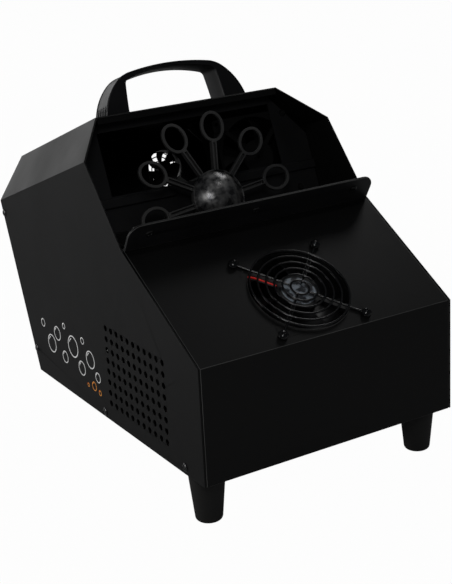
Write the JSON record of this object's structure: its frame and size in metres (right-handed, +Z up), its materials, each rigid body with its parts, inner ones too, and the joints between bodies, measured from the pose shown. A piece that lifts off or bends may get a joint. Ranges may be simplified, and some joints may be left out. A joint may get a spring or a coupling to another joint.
{
  "type": "bubble machine",
  "caption": "Black sheet-steel bubble machine: a wheel of wands dips into a tank, a blower drives air through them and a fan in the sloping front lifts the bubbles away.",
  "frame": {"origin": "bottom centre of the bounding box: on the surface that the feet stand on, midway between the sides and midway between the front face and the top rear edge", "axes": "+X to the right seen from the front, +Y from the front face to the rear wall, +Z up"},
  "size_m": [0.253, 0.3834, 0.3334],
  "materials": {
    "case_paint": "fine-textured black powder coat",
    "tank_steel": "satin black coating, wetted by the fluid",
    "rubber": "matt black rubber",
    "handle_plastic": "smooth semi-gloss black moulding",
    "wand_plastic": "satin black moulding",
    "bright_steel": "mottled bright metal",
    "guard_wire": "glossy black coated wire",
    "black_screw": "glossy blackened steel",
    "fan_plastic": "satin black moulding",
    "fitting_plastic": "matt black moulding",
    "rocker_plastic": "glossy black moulding",
    "board": "green solder resist",
    "red_lead": "red insulation",
    "black_lead": "black insulation",
    "inner_metal": "zinc-plated steel"
  },
  "bodies": {
    "case": {"baffle_frame": "case_paint", "base_chassis": "case_paint", "blower_frame": "fan_plastic", "blower_screws": "black_screw", "board_components": "inner_metal", "board_standoffs": "fitting_plastic", "cover_screws": "black_screw", "cover_shell": "case_paint", "drain_plug": "rubber", "drip_lip": "case_paint", "fan_lead_black": "black_lead", "fan_lead_red": "red_lead", "fluid_tank": "tank_steel", "foot_front_left": "rubber", "foot_front_right": "rubber", "foot_rear_left": "rubber", "foot_rear_right": "rubber", "foot_screws": "black_screw", "front_fan_frame": "fan_plastic", "front_fan_guard": "guard_wire", "front_fan_screws": "black_screw", "handle": "handle_plastic", "handle_bolts": "black_screw", "inlet_screws": "black_screw", "lip_screws": "black_screw", "mains_inlet": "fitting_plastic", "mains_lead": "black_lead", "motor_lead": "black_lead", "motor_screws": "black_screw", "power_board": "board", "rear_fan_frame": "fan_plastic", "rear_fan_guard": "guard_wire", "rear_fan_screws": "black_screw", "rear_panel": "case_paint", "rear_panel_screws": "black_screw", "switch_body": "fitting_plastic", "tank_stand_left": "case_paint", "tank_stand_right": "case_paint", "transformer": "inner_metal", "wheel_motor": "inner_metal"},
    "bubble_wheel": {"wand_01": "wand_plastic", "wand_02": "wand_plastic", "wand_03": "wand_plastic", "wand_04": "wand_plastic", "wand_05": "wand_plastic", "wand_06": "wand_plastic", "wand_07": "wand_plastic", "wand_08": "wand_plastic", "wand_09": "wand_plastic", "wand_10": "wand_plastic", "wheel_hub": "wand_plastic", "hub_cap": "bright_steel", "wheel_axle": "bright_steel"},
    "front_fan_blades": {"front_fan_rotor": "fan_plastic"},
    "blower_blades": {"blower_rotor": "fan_plastic"},
    "rear_fan_blades": {"rear_fan_rotor": "fan_plastic"},
    "rocker": {"switch_rocker": "rocker_plastic"},
    "fuse_holder": {"fuse_drawer": "fitting_plastic"}
  },
  "joints": [
    {"name": "wheel_spin", "type": "hinge", "parent": "case", "child": "bubble_wheel", "pos_m": [0, -0.02285, 0.2209], "axis": [0, 0.9272, -0.3746], "continuous": true},
    {"name": "front_fan_spin", "type": "hinge", "parent": "case", "child": "front_fan_blades", "pos_m": [0, -0.14191, 0.15817], "axis": [0, -0.5045, 0.8634], "continuous": true},
    {"name": "blower_spin", "type": "hinge", "parent": "case", "child": "blower_blades", "pos_m": [0.067, 0.02252, 0.23708], "axis": [0, -0.9272, 0.3746], "continuous": true},
    {"name": "rear_fan_spin", "type": "hinge", "parent": "case", "child": "rear_fan_blades", "pos_m": [0.052, 0.17133, 0.20244], "axis": [0, 0.9367, -0.3502], "continuous": true},
    {"name": "switch_rock", "type": "hinge", "parent": "case", "child": "rocker", "pos_m": [-0.02, 0.13204, 0.08293], "axis": [1, 0, 0], "range_deg": [0, 22]},
    {"name": "fuse_drawer_slide", "type": "slide", "parent": "case", "child": "fuse_holder", "axis": [0, 0.9367, -0.3502], "range_m": [0, 0.018]}
  ]
}
